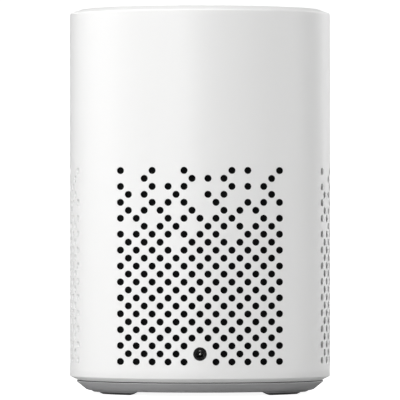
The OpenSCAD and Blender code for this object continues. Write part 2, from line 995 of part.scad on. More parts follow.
module base_cover() {
    color("gray")
        difference() {
            union() {
                rotate_extrude($fn = fine)
                    polygon([
                        [0, base_z], [40.2, base_z], [41, base_z + 0.25],
                        [base_flange_r, base_flange_z - base_flange_h],
                        [base_flange_r, base_flange_z], [base_spigot_r, base_flange_z],
                        [base_spigot_r, base_spigot_z], [41.6, base_spigot_z], [41.6, 5.4],
                        [39, base_floor_z], [0, base_floor_z],
                    ]);
                around(foot_angles, 0)
                    arc_piece(foot_half_angle, foot_end_slope)
                        polygon([
                            [foot_inner_r - 1, foot_h], [39.3, foot_h], [40, base_z],
                            [40, base_z + 0.2], [foot_inner_r - 1, base_z + 0.2],
                        ]);
                around([90, 210, 330], base_screw_ring_r)
                    disc(4.2, base_floor_z - 0.1, 5);
                jack_screw_places()
                    disc(2.2, base_floor_z - 0.1, jack_board_z);
            }
            around(foot_angles, 0)
                arc_piece(foot_half_angle - 2.8, 0)
                    polygon([
                        [foot_inner_r + 1.4, 0], [foot_outer_r - 0.9, 0],
                        [foot_outer_r - 0.9, foot_pocket_z], [foot_inner_r + 1.4, foot_pocket_z],
                    ]);
            around([90, 210, 330], base_screw_ring_r) {
                disc(3.1, -1, 3.2);
                disc(1.35, 0, 6, 32);
            }
            jack_screw_places()
                disc(m2_hole_r, base_floor_z + 1, jack_board_z + 1, 32);
        }
}

// Rubber ring that fills the groove between the base and the shell
module base_seal() {
    color("black")
        ring(base_spigot_r + 0.02, 43.9, base_flange_z, shell_lip_z);
}

module base_screws() {
    color("dimgray")
        around([90, 210, 330], base_screw_ring_r)
            screw_up(3.2, 5.6, r = 1.15, head_r = 2.8, head_h = 1.7);
}

// Curved rubber feet with sloping sides, each with a tongue glued in a pocket of the base
module feet() {
    color("black")
        around(foot_angles, 0) {
            arc_piece(foot_half_angle, foot_end_slope)
                polygon([
                    [foot_inner_r, 0], [foot_outer_r, 0],
                    [foot_outer_r + 0.9, foot_h], [foot_inner_r - 0.4, foot_h],
                ]);
            arc_piece(foot_half_angle - 3, 0)
                polygon([
                    [foot_inner_r + 1.5, foot_h - 0.1], [foot_outer_r - 1, foot_h - 0.1],
                    [foot_outer_r - 1, foot_pocket_z], [foot_inner_r + 1.5, foot_pocket_z],
                ]);
        }
}

outer_shell();
grille_cloth();
top_panel();
light_ring();
key_volume_up();
key_volume_down();
key_action();
key_mic_mute();
plunger_volume_up();
plunger_volume_down();
plunger_action();
plunger_mic_mute();
key_switches();
key_board();
ring_leds();
microphones();
mic_seals();
panel_screws();
top_frame();
frame_screws();
main_board();
board_screws();
board_chips();
shield_can();
wifi_module();
power_inductors();
capacitors();
board_connectors();
ribbon_cable();
antenna();
antenna_lead();
enclosure_cup();
enclosure_baffle();
enclosure_seal();
enclosure_screws();
speaker_lead();
lead_grommet();
driver_basket();
driver_gasket();
driver_screws();
driver_top_plate();
driver_magnet();
driver_yoke();
driver_terminal();
driver_surround();
driver_spider();
driver_cone();
dust_cap();
coil_former();
voice_coil();
sound_reflector();
jack_body();
jack_pin();
jack_contact();
jack_board();
power_lead();
base_cover();
base_seal();
base_screws();
feet();
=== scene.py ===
import json
import math

import bmesh
import bpy
from mathutils import Matrix, Vector

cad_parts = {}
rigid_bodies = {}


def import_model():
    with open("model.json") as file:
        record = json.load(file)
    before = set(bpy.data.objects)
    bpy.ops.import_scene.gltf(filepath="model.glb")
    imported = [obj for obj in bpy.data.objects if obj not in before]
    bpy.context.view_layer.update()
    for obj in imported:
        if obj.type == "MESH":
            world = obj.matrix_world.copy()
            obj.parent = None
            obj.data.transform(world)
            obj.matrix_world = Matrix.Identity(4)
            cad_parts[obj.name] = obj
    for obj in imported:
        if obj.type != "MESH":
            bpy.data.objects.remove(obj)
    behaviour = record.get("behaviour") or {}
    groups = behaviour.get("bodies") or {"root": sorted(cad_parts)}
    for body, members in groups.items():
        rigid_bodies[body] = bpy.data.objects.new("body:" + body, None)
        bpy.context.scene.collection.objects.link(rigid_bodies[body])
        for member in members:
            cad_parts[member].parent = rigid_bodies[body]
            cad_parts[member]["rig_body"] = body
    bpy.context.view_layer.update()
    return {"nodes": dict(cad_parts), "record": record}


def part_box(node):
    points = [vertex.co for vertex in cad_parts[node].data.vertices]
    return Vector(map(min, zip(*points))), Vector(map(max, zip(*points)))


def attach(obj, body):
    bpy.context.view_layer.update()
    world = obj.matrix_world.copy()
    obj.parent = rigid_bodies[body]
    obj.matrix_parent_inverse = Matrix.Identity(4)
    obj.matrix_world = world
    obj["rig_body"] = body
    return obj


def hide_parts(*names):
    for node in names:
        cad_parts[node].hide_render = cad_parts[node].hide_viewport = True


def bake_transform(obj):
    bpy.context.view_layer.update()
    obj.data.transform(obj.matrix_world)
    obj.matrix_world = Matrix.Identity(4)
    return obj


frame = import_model()
NODES = frame["nodes"]
ROOT = "speaker"
MM = 0.001
SLOT_OF = {s["node"]: s["material_slot"] for s in frame["record"]["subparts"]}
COLOUR_OF = {m["slot"]: tuple(m["base_color"][:3]) for m in frame["record"]["materials"]}

# Vertices of a CAD mesh nearer than this are one
WELD = 0.002 * MM
# Faces that meet at less than FLAT are one face; an edge over SHARP isn't shaded smooth
FLAT, SHARP = math.radians(0.4), math.radians(30)

# The sound holes' lattice: one step between columns and between rows, every other place drilled
STEP = 2.81 * MM
ROWS = 25
HOLE_R = 1.25 * MM
TOP_ROW_Z = 79.6 * MM
# Columns of the wide patches at the back and front, and of the narrow ones at the sides
WIDE = list(range(21))
NARROW = [j if j < 7 else j + 8 for j in range(13)]
# Columns without a hole in each of the ten top rows
BLANKS = [
    (2, 6, 10, 12, 18), (1, 5, 7, 15, 17), (2, 10, 12, 20), (5, 9, 15, 17), (2, 10, 14),
    (7, 11, 19), (4, 16), (1, 9), (14,), (7,),
]

# The power inlet: its place in the lattice, its holes in the shell and the cloth, and the pin's step
JACK_ROW, JACK_COLUMN, JACK_CELLS = 23, 10, 3
JACK_SHELL_R, JACK_CLOTH_R = 2.4 * MM, 3.0 * MM
PIN_ROOT_Y = 36.5 * MM


# ---------------------------------------------------------------- meshes

def dress(obj, body, node=None, material=None):
    """Links a new object, shades it, gives it its material and ties it to its body, if it has just one."""
    bpy.context.scene.collection.objects.link(obj)
    for face in obj.data.polygons:
        face.use_smooth = True
    obj.data.set_sharp_from_angle(angle=SHARP)
    obj.data.materials.append(material)
    if body:
        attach(obj, body)
    if node:
        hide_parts(node)
    return obj


def new_piece(name, verts, faces, body, node=None, material=None):
    """Makes a mesh object, smooth apart from its sharp edges, and lets it ride on a body."""
    mesh = bpy.data.meshes.new(name)
    mesh.from_pydata(verts, [], faces)
    mesh.validate()
    return dress(bpy.data.objects.new(name, mesh), body, node, material)


def welded(node):
    """A copy of a CAD node's mesh to work on, with its doubled vertices merged."""
    bm = bmesh.new()
    bm.from_mesh(NODES[node].data)
    bmesh.ops.remove_doubles(bm, verts=bm.verts, dist=WELD)
    return bm


def finished(bm, name):
    """Ends the work on a mesh and makes an object of it."""
    mesh = bpy.data.meshes.new(name)
    bm.to_mesh(mesh)
    bm.free()
    return bpy.data.objects.new(name, mesh)


def softened(node, width, material, segments=2, angle=35):
    """A new piece with a CAD node's own shape, whose edges over an angle are rounded off by a small width."""
    bm = welded(node)
    bmesh.ops.dissolve_limit(bm, angle_limit=FLAT, verts=bm.verts, edges=bm.edges)
    edges = [
        e for e in bm.edges
        if len(e.link_faces) == 2 and e.calc_face_angle(0) > math.radians(angle)
    ]
    bmesh.ops.bevel(
        bm, geom=edges, offset=width, offset_type="OFFSET", segments=segments,
        profile=0.5, affect="EDGES", clamp_overlap=True,
    )
    piece = finished(bm, node + "_soft")
    weighted = piece.modifiers.new("even_shading", "WEIGHTED_NORMAL")
    weighted.keep_sharp = True
    return dress(piece, NODES[node]["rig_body"], node, material)


def flexing_ring(node, material, wedges=16):
    """A CAD node's soft ring in even wedges."""
    for k in range(wedges):
        bm = welded(node)
        for edge, way in ((k, 1), (k + 1, -1)):
            a = 2 * math.pi * edge / wedges
            bmesh.ops.bisect_plane(
                bm, geom=bm.verts[:] + bm.edges[:] + bm.faces[:], plane_co=(0, 0, 0),
                plane_no=(-way * math.sin(a), way * math.cos(a), 0), clear_inner=True,
            )
        piece = dress(finished(bm, f"{node}_{k + 1}"), None, node, material)
        a = 2 * math.pi * (k + 0.5) / wedges
        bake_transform(piece)


def revolved(profile, columns):
    """Turns a list of (r, z) round the axis. Returns its vertices and quads."""
    verts = [
        (r * math.cos(a), r * math.sin(a), z)
        for r, z in profile
        for a in (2 * math.pi * i / columns for i in range(columns))
    ]
    faces = []
    for k in range(len(profile) - 1):
        a, b = k * columns, (k + 1) * columns
        for i in range(columns):
            j = (i + 1) % columns
            faces.append((a + i, a + j, b + j, b + i))
    return verts, faces


def prism(outline, z0, z1, at=(0, 0)):
    """Upright prism over a closed outline. Returns its vertices and faces."""
    n = len(outline)
    verts = [(x + at[0], y + at[1], z) for z in (z0, z1) for x, y in outline]
    faces = [tuple(range(n - 1, -1, -1)), tuple(range(n, 2 * n))]
    faces += [(i, (i + 1) % n, n + (i + 1) % n, n + i) for i in range(n)]
    return verts, faces


def joined(*parts):
    """Puts several (vertices, faces) together as one."""
    verts, faces = [], []
    for v, f in parts:
        base = len(verts)
        verts += v
        faces += [tuple(i + base for i in face) for face in f]
    return verts, faces


def arc(cx, cz, r, a0, a1, steps):
    """Points along an arc between two angles in degrees."""
    turns = [math.radians(a0 + (a1 - a0) * i / steps) for i in range(steps + 1)]
    return [(cx + r * math.cos(a), cz + r * math.sin(a)) for a in turns]


# ---------------------------------------------------------------- perforated tube

def is_drilled(k, row):
    """True if the lattice has a sound hole in this column and row."""
    return (k + row) % 2 == 0 and not (row < len(BLANKS) and k in BLANKS[row])


def is_jack_corner(turn, k, row):
    """True for the upper left cell of the block that the power inlet takes up, at the back."""
    return (turn, k, row) == (0, JACK_COLUMN - 1, JACK_ROW - 1)


class Tube:
    """A wall between two radii. Its four patches are lattices of cells that can be drilled.

    A cell is square as seen square on, and sub faces each way; between two patches are strip faces.
    A side is 0 for the outer wall and 1 for the inner one. Rows run round and columns run down.
    """

    def __init__(self, r_out, r_in, cells, sub=4, strip=10):
        self.r = (r_out, r_in)
        self.sub, self.strip = sub, strip
        self.verts, self.faces = [], []
        # each patch's columns, and its turn from the back in degrees
        self.patches = [(WIDE, 0), (NARROW, 90), (WIDE, 180), (NARROW, 270)]
        self.z_top = TOP_ROW_Z + STEP / 2
        self.columns = []
        self.starts = []
        self.lay_out_columns()
        self.rows = ROWS * sub
        self.walls = [self.wall_grid(0), self.wall_grid(1)]
        self.fill_cells(cells)

    def local(self, side, u):
        """Angle from the patch's middle of a point at the distance u across it."""
        return math.asin(u / self.r[side])

    def lay_out_columns(self):
        """Finds each column's angle on both sides, evenly across a patch and then up to the next patch."""
        for n, (names, turn) in enumerate(self.patches):
            self.starts.append(len(self.columns))
            half = len(names) * STEP / 2
            count = len(names) * self.sub
            for i in range(count + 1):
                u = half - i * STEP / self.sub
                self.columns.append(tuple(self.local(s, u) - math.radians(turn) for s in (0, 1)))
            following, _ = self.patches[(n + 1) % 4]
            half = len(following) * STEP / 2
            end = [self.local(s, half) - math.radians(turn + 90) for s in (0, 1)]
            start = self.columns[-1]
            for i in range(1, self.strip):
                t = i / self.strip
                self.columns.append(tuple(a + (b - a) * t for a, b in zip(start, end)))

    def ring_at(self, r, z, w):
        """Adds a row at one height, its angles w of the way from the outer to the inner ones."""
        first = len(self.verts)
        for outer, inner in self.columns:
            a = outer + (inner - outer) * w
            self.verts.append((r * math.sin(a), r * math.cos(a), z))
        return first

    def wall_grid(self, side):
        """All the rows of one side of the patches. Returns its first vertex."""
        first = len(self.verts)
        for i in range(self.rows + 1):
            self.ring_at(self.r[side], self.z_top - i * STEP / self.sub, side)
        return first

    def index(self, side, i, j):
        """The vertex at row i and column j of a side."""
        return self.walls[side] + i * len(self.columns) + j % len(self.columns)

    def quad(self, side, a, b, c, d):
        """A face that looks outwards on the outer side and inwards on the inner one."""
        self.faces.append((a, b, c, d) if side == 0 else (d, c, b, a))

    def plain(self, i0, i1, j0, j1):
        """Both sides of an undrilled stretch between two rows and two columns."""
        for side in (0, 1):
            for i in range(i0, i1):
                for j in range(j0, j1):
                    self.quad(
                        side, self.index(side, i, j), self.index(side, i + 1, j),
                        self.index(side, i + 1, j + 1), self.index(side, i, j + 1),
                    )

    def drilled(self, n, c0, row0, size, radius, chamfer=0.09 * MM):
        """Drills one round hole with a broken edge through a square block of size by size cells."""
        names, turn = self.patches[n]
        m = size * self.sub
        i0, j0 = row0 * self.sub, self.starts[n] + c0 * self.sub
        edge = [(i, 0) for i in range(m)] + [(m, j) for j in range(m)]
        edge += [(i, m) for i in range(m, 0, -1)] + [(0, j) for j in range(m, 0, -1)]
        u0 = len(names) * STEP / 2 - (c0 + size / 2) * STEP
        z0 = self.z_top - (row0 + size / 2) * STEP
        turned = Matrix.Rotation(math.radians(turn), 3, "Z")

        def ring(side, r, sink):
            """The hole's circle of radius r, sunk a little below the surface of a side."""
            first = len(self.verts)
            for q in range(len(edge)):
                # the block's boundary starts at its upper left corner and goes down
                a = math.radians(135 + 360 * q / len(edge))
                u, z = u0 - r * math.cos(a), z0 + r * math.sin(a)
                y = math.sqrt(self.r[side] ** 2 - u * u) - sink
                self.verts.append(tuple(turned @ Vector((u, y, z))))
            return list(range(first, len(self.verts)))

        outer = [self.index(0, i0 + i, j0 + j) for i, j in edge]
        inner = [self.index(1, i0 + i, j0 + j) for i, j in edge]
        loops = [outer]
        if size > 1:
            loops.append(ring(0, (radius + size * STEP / 2) / 2, 0))
        loops += [ring(0, radius + chamfer, 0), ring(0, radius, chamfer), ring(1, radius, 0), inner]
        for a, b in zip(loops, loops[1:]):
            for q in range(len(edge)):
                p = (q + 1) % len(edge)
                self.faces.append((a[q], a[p], b[p], b[q]))

    def fill_cells(self, cells):
        """For a patch, a column and a row, cells gives a hole's radius and its block's size, or None."""
        for n, (names, turn) in enumerate(self.patches):
            taken = set()
            blocks = {}
            for c, k in enumerate(names):
                for row in range(ROWS):
                    found = cells(turn, k, row)
                    if found:
                        radius, size = found
                        blocks[(c, row)] = (radius, size)
                        taken |= {(c + x, row + y) for x in range(size) for y in range(size)}
            for (c, row), (radius, size) in blocks.items():
                self.drilled(n, c, row, size, radius)
            for c in range(len(names)):
                for row in range(ROWS):
                    if (c, row) not in taken:
                        j = self.starts[n] + c * self.sub
                        i = row * self.sub
                        self.plain(i, i + self.sub, j, j + self.sub)
            j = self.starts[n] + len(names) * self.sub
            self.plain(0, self.rows, j, j + self.strip)

    def band(self, profile, top):
        """Continues the wall past its top or its bottom, from the outer radius round to the inner one."""
        count = len(self.columns)
        end = 0 if top else self.rows
        rows = [[self.index(0, end, j) for j in range(count)]]
        for r, z, w in profile:
            first = self.ring_at(r, z, w)
            rows.append(list(range(first, first + count)))
        rows.append([self.index(1, end, j) for j in range(count)])
        for a, b in zip(rows, rows[1:]):
            for j in range(count):
                k = (j + 1) % count
                self.faces.append((a[j], a[k], b[k], b[j]) if top else (b[j], b[k], a[k], a[j]))


def shell_cells(turn, k, row):
    """What a cell of the shell holds: the inlet's hole, a sound hole or nothing."""
    if is_jack_corner(turn, k, row):
        return JACK_SHELL_R, JACK_CELLS
    if turn == 0 and abs(k - JACK_COLUMN) <= 1 and abs(row - JACK_ROW) <= 1:
        return None
    return (HOLE_R, 1) if is_drilled(k, row) else None


def rim_profile(r, top, wall):
    """The shell above its holes: up the plain wall, over the sloping rim and down inside, for Tube.band."""
    fillet, crown, edge = 0.8 * MM, 2 * MM, 0.25 * MM
    slope, crest_r, opening_r = 17, 42 * MM, 41.5 * MM
    under = top - 3.8 * MM
    turn = 90 - slope
    corner = top - (r - crest_r) * math.tan(math.radians(slope))
    middle = corner - fillet * math.tan(math.radians(turn / 2))
    outline = [(r, z * MM) for z in (84, 90, 100, 110, 120, 130)]
    outline += arc(r - fillet, middle, fillet, 0, turn, 8)
    outline += arc(opening_r + edge + 0.6 * MM, top - crown, crown, turn, 90, 4)
    outline += arc(opening_r + edge, top - edge, edge, 90, 180, 4)
    outline += [(opening_r, under)]
    return [(x, z, 0) for x, z in outline] + [(r - wall, under, 1), (r - wall, 100 * MM, 1)]


def foot_profile(r, low_z, wall):
    """The shell below its holes: down to the foot, along the chamfer and up inside, for Tube.band."""
    foot_z, lip_r = 6.2 * MM, 44.1 * MM
    seat_r, seat_z, plain_z = 43.6 * MM, 7.9 * MM, 9 * MM
    outline = [(r, plain_z), (r, foot_z + 0.15 * MM), (r - 0.06 * MM, foot_z + 0.02 * MM)]
    outline += [(r - 0.22 * MM, foot_z - 0.11 * MM), (lip_r + 0.1 * MM, low_z + 0.05 * MM), (lip_r, low_z)]
    inside = [(seat_r, low_z, 0.5), (seat_r, seat_z, 1), (r - wall, plain_z, 1)]
    return [(x, z, 0) for x, z in outline] + inside


def make_shell(material):
    """The moulded shell: true holes with a broken edge, a chamfered foot and a rounded rim."""
    low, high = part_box("outer_shell")
    r, wall = high.x, 2.0 * MM
    tube = Tube(r, r - wall, shell_cells)
    tube.band(rim_profile(r, high.z, wall), True)
    tube.band(foot_profile(r, low.z, wall), False)
    new_piece("shell", tube.verts, tube.faces, ROOT, "outer_shell", material)


def make_cloth(material):
    """The acoustic cloth, a stretched sleeve with a round hole for the power inlet."""
    low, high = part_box("grille_cloth")
    outer = high.x - 0.02 * MM
    thick = 0.3 * MM

    def cells(turn, k, row):
        return (JACK_CLOTH_R, JACK_CELLS) if is_jack_corner(turn, k, row) else None

    tube = Tube(outer, outer - thick, cells, sub=2, strip=8)
    tube.band([(outer, high.z, 0), (outer - thick, high.z, 1)], True)
    tube.band([(outer, low.z, 0), (outer - thick, low.z, 1)], False)
    piece = new_piece("cloth_sleeve", tube.verts, tube.faces, ROOT, "grille_cloth", material)


# ---------------------------------------------------------------- materials

def toned(colour, factor=1.0, lift=0.0):
    """A colour made darker or lighter."""
    return tuple(min(1, c * factor + lift) for c in colour)


class Shader:
    """A procedural material on object coordinates, in metres, built up from small steps."""

    def __init__(self, name, colour, rough, metallic=0.0, coat=0.0, sheen=0.0, specular=None):
        self.material = bpy.data.materials.new(name)
        self.material.use_nodes = True
        self.tree = self.material.node_tree
        self.bsdf = self.tree.nodes["Principled BSDF"]
        self.coords = self.node("ShaderNodeTexCoord").outputs["Object"]
        self.colour = colour
        self.put("Base Color", (*colour, 1))
        self.put("Roughness", rough)
        self.put("Metallic", metallic)
        self.put("Coat Weight", coat)
        self.put("Sheen Weight", sheen)
        if specular is not None:
            self.put("Specular IOR Level", specular)
        self.material.diffuse_color = (*colour, 1)
        self.relief = None

    def node(self, kind, **settings):
        """A new node in the tree."""
        n = self.tree.nodes.new(kind)
        for key, value in settings.items():
            setattr(n, key, value)
        return n

    def link(self, source, target):
        self.tree.links.new(source, target)

    def put(self, socket, value):
        """Sets one of the shader's own values."""
        self.bsdf.inputs[socket].default_value = value

    def feed(self, socket, value):
        """Links a socket to another one, or sets it to a number."""
        if hasattr(value, "links"):
            self.link(value, socket)
        else:
            socket.default_value = value

    def maths(self, operation, a, b=0.0, c=0.0):
        n = self.node("ShaderNodeMath", operation=operation)
        for socket, value in zip(n.inputs, (a, b, c)):
            self.feed(socket, value)
        return n.outputs[0]

    def noise(self, per_metre, detail=3, roughness=0.5, stretch=(1, 1, 1)):
        """Soft noise between 0 and 1; a stretch below 1 draws it out along that axis."""
        scaled = self.node("ShaderNodeMapping")
        scaled.inputs["Scale"].default_value = stretch
        self.link(self.coords, scaled.inputs["Vector"])
        n = self.node("ShaderNodeTexNoise")
        n.inputs["Scale"].default_value = per_metre
        n.inputs["Detail"].default_value = detail
        n.inputs["Roughness"].default_value = roughness
        self.link(scaled.outputs[0], n.inputs["Vector"])
        return n.outputs["Fac"]

    def between(self, fac, low, high, from_low=0.0, from_high=1.0):
        """Maps fac from its own range to the range from low to high."""
        n = self.node("ShaderNodeMapRange")
        for socket, value in zip(n.inputs, (fac, from_low, from_high, low, high)):
            self.feed(socket, value)
        return n.outputs[0]

    def blend(self, fac, a, b):
        """Mixes two colours."""
        n = self.node("ShaderNodeMix", data_type="RGBA")
        self.feed(n.inputs[0], fac)
        for socket, value in ((n.inputs[6], a), (n.inputs[7], b)):
            self.feed(socket, value if hasattr(value, "links") else (*value, 1))
        return n.outputs[2]

    def tint(self, fac, amount):
        """Varies the base colour a little with fac."""
        self.paint(self.blend(fac, toned(self.colour, 1 - amount), toned(self.colour, 1 + amount)))

    def paint(self, colour):
        self.link(colour, self.bsdf.inputs["Base Color"])

    def rough(self, value):
        self.link(value, self.bsdf.inputs["Roughness"])

    def bump(self, height, depth):
        """Adds relief of the given depth in metres; later calls add to earlier ones."""
        n = self.node("ShaderNodeBump")
        n.inputs["Strength"].default_value = 1.0
        n.inputs["Distance"].default_value = depth
        self.link(height, n.inputs["Height"])
        if self.relief:
            self.link(self.relief, n.inputs["Normal"])
        self.relief = n.outputs["Normal"]
        self.link(self.relief, self.bsdf.inputs["Normal"])

    def xyz(self):
        """The three object coordinates, in metres."""
        n = self.node("ShaderNodeSeparateXYZ")
        self.link(self.coords, n.inputs[0])
        return n.outputs

    def around(self):
        """The angle round the upright axis in radians, the distance from it and the height."""
        x, y, z = self.xyz()
        angle = self.maths("ARCTAN2", x, y)
        squared = self.maths("ADD", self.maths("MULTIPLY", x, x), self.maths("MULTIPLY", y, y))
        return angle, self.maths("SQRT", squared), z

    def wave(self, value, per_unit):
        """A sine between 0 and 1 along value."""
        s = self.maths("SINE", self.maths("MULTIPLY", value, 2 * math.pi * per_unit))
        return self.maths("MULTIPLY_ADD", s, 0.5, 0.5)


def moulded(name, colour, rough, grain=9000, depth=4e-6, specular=0.5):
    """Injection-moulded plastic: spark texture, faint flow marks and uneven gloss."""
    s = Shader(name, colour, rough, specular=specular)
    flow = s.noise(28, 2, 0.5, stretch=(1, 1, 0.35))
    s.tint(flow, 0.012)
    fine = s.noise(grain, 2, 0.6)
    s.rough(s.between(s.maths("ADD", flow, fine), rough - 0.05, rough + 0.07, 0.5, 1.5))
    s.bump(fine, depth)
    return s.material


def rubber(name, colour, rough=0.72):
    """Moulded rubber with a dull, dusty skin."""
    s = Shader(name, colour, rough, sheen=0.15, specular=0.35)
    dust = s.noise(450, 4, 0.65)
    s.paint(s.blend(s.between(dust, 0, 0.35, 0.45, 0.8), colour, toned(colour, lift=0.035)))
    s.rough(s.between(dust, rough - 0.08, rough + 0.12, 0.3, 0.8))
    s.bump(s.noise(5200, 2, 0.5), 6e-6)
    return s.material


def metal(name, colour, rough, along=""):
    """Worked metal with fine marks, which can be drawn out along one direction."""
    s = Shader(name, colour, rough, metallic=1.0)
    stretch = [0.03 if axis == along else 1 for axis in "xyz"]
    marks = s.noise(4200, 3, 0.6, stretch)
    s.tint(s.noise(175, 3), 0.1)
    s.rough(s.between(marks, rough - 0.08, rough + 0.12, 0.3, 0.7))
    s.bump(marks, 2e-6)
    return s.material


def contact(name, colour, rough, painted_shade_below_y):
    """Polished nickel with marks along the plug's direction; the pin's root, deep in the bore, is painted
    black and not metallic as painted shade.
    """
    s = Shader(name, colour, rough, metallic=1.0)
    unshaded = s.between(s.xyz()[1], 0, 1, painted_shade_below_y, painted_shade_below_y + 0.1 * MM)
    marks = s.noise(4200, 3, 0.6, stretch=(1, 0.03, 1))
    # painted shade: the pin's root, deep in the bore, is black and not metallic, standing in for the bore's
    # shade
    s.paint(s.blend(unshaded, (0.006, 0.006, 0.006), colour))
    s.feed(s.bsdf.inputs["Metallic"], unshaded)
    s.rough(s.between(marks, rough - 0.04, rough + 0.06, 0.3, 0.7))
    s.bump(marks, 3e-7)
    return s.material


def turned_metal(name, colour, rough):
    """Metal turned on a lathe, with rings about the upright axis."""
    s = Shader(name, colour, rough, metallic=1.0)
    _, radius, z = s.around()
    rings = s.wave(s.maths("ADD", radius, z), 4200)
    stain = s.noise(160, 4, 0.6)
    s.tint(stain, 0.14)
    s.rough(s.between(s.maths("ADD", rings, stain), rough - 0.06, rough + 0.14, 0.4, 1.6))
    s.bump(rings, 3e-6)
    return s.material


def board(name, colour):
    """Circuit board: solder mask over copper tracks, with plated pads and vias."""
    s = Shader(name, colour, 0.32, coat=0.35)
    x, y, _ = s.xyz()
    bends = s.maths("MULTIPLY", s.wave(x, 45), 0.002)
    tracks = s.maths("MULTIPLY", s.wave(x, 620), s.wave(s.maths("ADD", y, bends), 480))
    track = s.between(tracks, 0, 1, 0.42, 0.5)
    spots = s.node("ShaderNodeTexVoronoi")
    spots.inputs["Scale"].default_value = 330
    s.link(s.coords, spots.inputs["Vector"])
    via = s.between(spots.outputs["Distance"], 1, 0, 0.11, 0.13)
    masked = s.blend(track, toned(colour, 0.6), toned(colour, 1.5, 0.01))
    s.paint(s.blend(via, masked, (0.62, 0.5, 0.28)))
    s.link(via, s.bsdf.inputs["Metallic"])
    s.bump(track, 1.5e-5)
    s.rough(s.between(s.noise(900, 3), 0.24, 0.42))
    return s.material


def chip(name, colour):
    """Moulded epoxy with a matt, speckled face."""
    s = Shader(name, colour, 0.6)
    speck = s.noise(16000, 2, 0.7)
    s.paint(s.blend(s.between(speck, 0, 1, 0.5, 0.75), colour, toned(colour, lift=0.03)))
    s.rough(s.between(s.noise(300, 3), 0.5, 0.72))
    s.bump(speck, 5e-6)
    return s.material


def woven(name, colour, pitch, radius):
    """Plain weave wrapped round the speaker: over-and-under threads, with a little fuzz, painted shade where
    the weave is low and painted light on the raised threads.
    """
    s = Shader(name, colour, 0.9, sheen=0.05, specular=0.1)
    angle, _, z = s.around()
    u = s.maths("MULTIPLY", angle, radius)
    wobble = s.maths("MULTIPLY", s.maths("SUBTRACT", s.noise(700, 2), 0.5), pitch * 0.5)
    u, v = s.maths("ADD", u, wobble), s.maths("ADD", z, wobble)
    per = 1 / pitch
    warp, weft = s.wave(u, per), s.wave(v, per)
    half_u = s.maths("SINE", s.maths("MULTIPLY", u, math.pi * per))
    half_v = s.maths("SINE", s.maths("MULTIPLY", v, math.pi * per))
    over = s.between(s.maths("MULTIPLY", half_u, half_v), 0, 1, -0.15, 0.15)
    under = s.maths("SUBTRACT", 1.0, over)
    height = s.maths("ADD", s.maths("MULTIPLY", warp, over), s.maths("MULTIPLY", weft, under))
    # painted shade and light: darker where the weave is low between the threads, lighter on the raised
    # threads
    s.paint(s.blend(s.between(height, 0, 1, 0.1, 0.7), toned(colour, 0.25), toned(colour, 1.35)))
    s.bump(height, pitch * 0.35)
    s.bump(s.noise(30000, 2, 0.7), 8e-6)
    return s.material


def spun(name, colour, rough=0.85):
    """Resin-dipped cotton or pressed pulp: matted fibres in all directions."""
    s = Shader(name, colour, rough, sheen=0.2, specular=0.25)
    fibres = s.noise(2600, 6, 0.75, stretch=(1, 1, 2.5))
    s.tint(fibres, 0.35)
    s.rough(s.between(fibres, rough - 0.1, min(1, rough + 0.12)))
    s.bump(fibres, 3e-5)
    return s.material


def ferrite(name, colour):
    """Sintered ferrite: fine pores and a few pale chips."""
    s = Shader(name, colour, 0.55)
    pores = s.noise(3800, 4, 0.7)
    chips = s.between(s.noise(260, 2, 0.4), 0, 1, 0.66, 0.72)
    body = s.blend(pores, toned(colour, 0.7), toned(colour, 1.3))
    s.paint(s.blend(chips, body, (0.3, 0.3, 0.31)))
    s.bump(pores, 1.2e-5)
    s.rough(s.between(pores, 0.45, 0.68))
    return s.material


def winding(name, colour):
    """Enamelled wire wound in close turns round the upright axis, with painted shade in the grooves between
    turns.
    """
    s = Shader(name, colour, 0.28, metallic=0.9, coat=0.6)
    turns = s.wave(s.xyz()[2], 5500)
    # painted shade: the colour darkens in the grooves between the turns
    s.paint(s.blend(turns, toned(colour, 0.35), colour))
    s.bump(turns, 4e-5)
    s.rough(s.between(s.noise(900), 0.2, 0.38))
    return s.material


def film(name, colour):
    """Flat cable: parallel conductors that show through clear film."""
    s = Shader(name, colour, 0.3, coat=0.4)
    lines = s.between(s.wave(s.xyz()[0], 1000), 0, 1, 0.45, 0.6)
    s.paint(s.blend(lines, colour, (0.5, 0.47, 0.42)))
    s.bump(lines, 2e-5)
    s.rough(s.between(s.noise(500), 0.24, 0.4))
    return s.material


def foil(name, colour):
    """Etched copper foil with a meander line and a thin clear skin."""
    s = Shader(name, colour, 0.34, metallic=0.85, coat=0.3)
    bars = s.between(s.wave(s.around()[0], 36), 0, 1, 0.4, 0.5)
    s.paint(s.blend(bars, (0.16, 0.1, 0.05), colour))
    s.bump(bars, 2e-5)
    s.rough(s.between(s.noise(800), 0.26, 0.44))
    return s.material


def sleeve(name, colour):
    """Extruded wire insulation, slightly glossy, with faint draw marks."""
    s = Shader(name, colour, 0.42, specular=0.45)
    marks = s.noise(2400, 3, 0.6, stretch=(1, 1, 0.05))
    s.tint(marks, 0.12)
    s.rough(s.between(marks, 0.34, 0.52))
    s.bump(marks, 8e-6)
    return s.material


def diffuser(name, colour):
    """Milky light guide that glows a little from inside, with fine frosting."""
    s = Shader(name, colour, 0.38, specular=0.5)
    s.put("Subsurface Weight", 0.6)
    s.put("Subsurface Radius", (0.003, 0.003, 0.0035))
    s.put("Subsurface Scale", 1.0)
    frost = s.noise(7000, 2, 0.6)
    s.tint(s.noise(120, 2), 0.02)
    s.rough(s.between(frost, 0.3, 0.5))
    s.bump(frost, 3e-6)
    return s.material


def lamp(name, colour):
    """Clear resin lamp with a phosphor disc inside."""
    s = Shader(name, colour, 0.2, coat=0.5)
    s.tint(s.noise(2500, 2), 0.25)
    s.bump(s.noise(1800, 2), 1e-5)
    s.rough(s.between(s.noise(1200), 0.12, 0.3))
    return s.material


def ink(name, colour):
    """Pad-printed ink for the marks on the keys."""
    s = Shader(name, colour, 0.5)
    grain = s.noise(12000, 2, 0.6)
    s.tint(grain, 0.12)
    s.rough(s.between(grain, 0.42, 0.6))
    s.bump(grain, 3e-6)
    return s.material


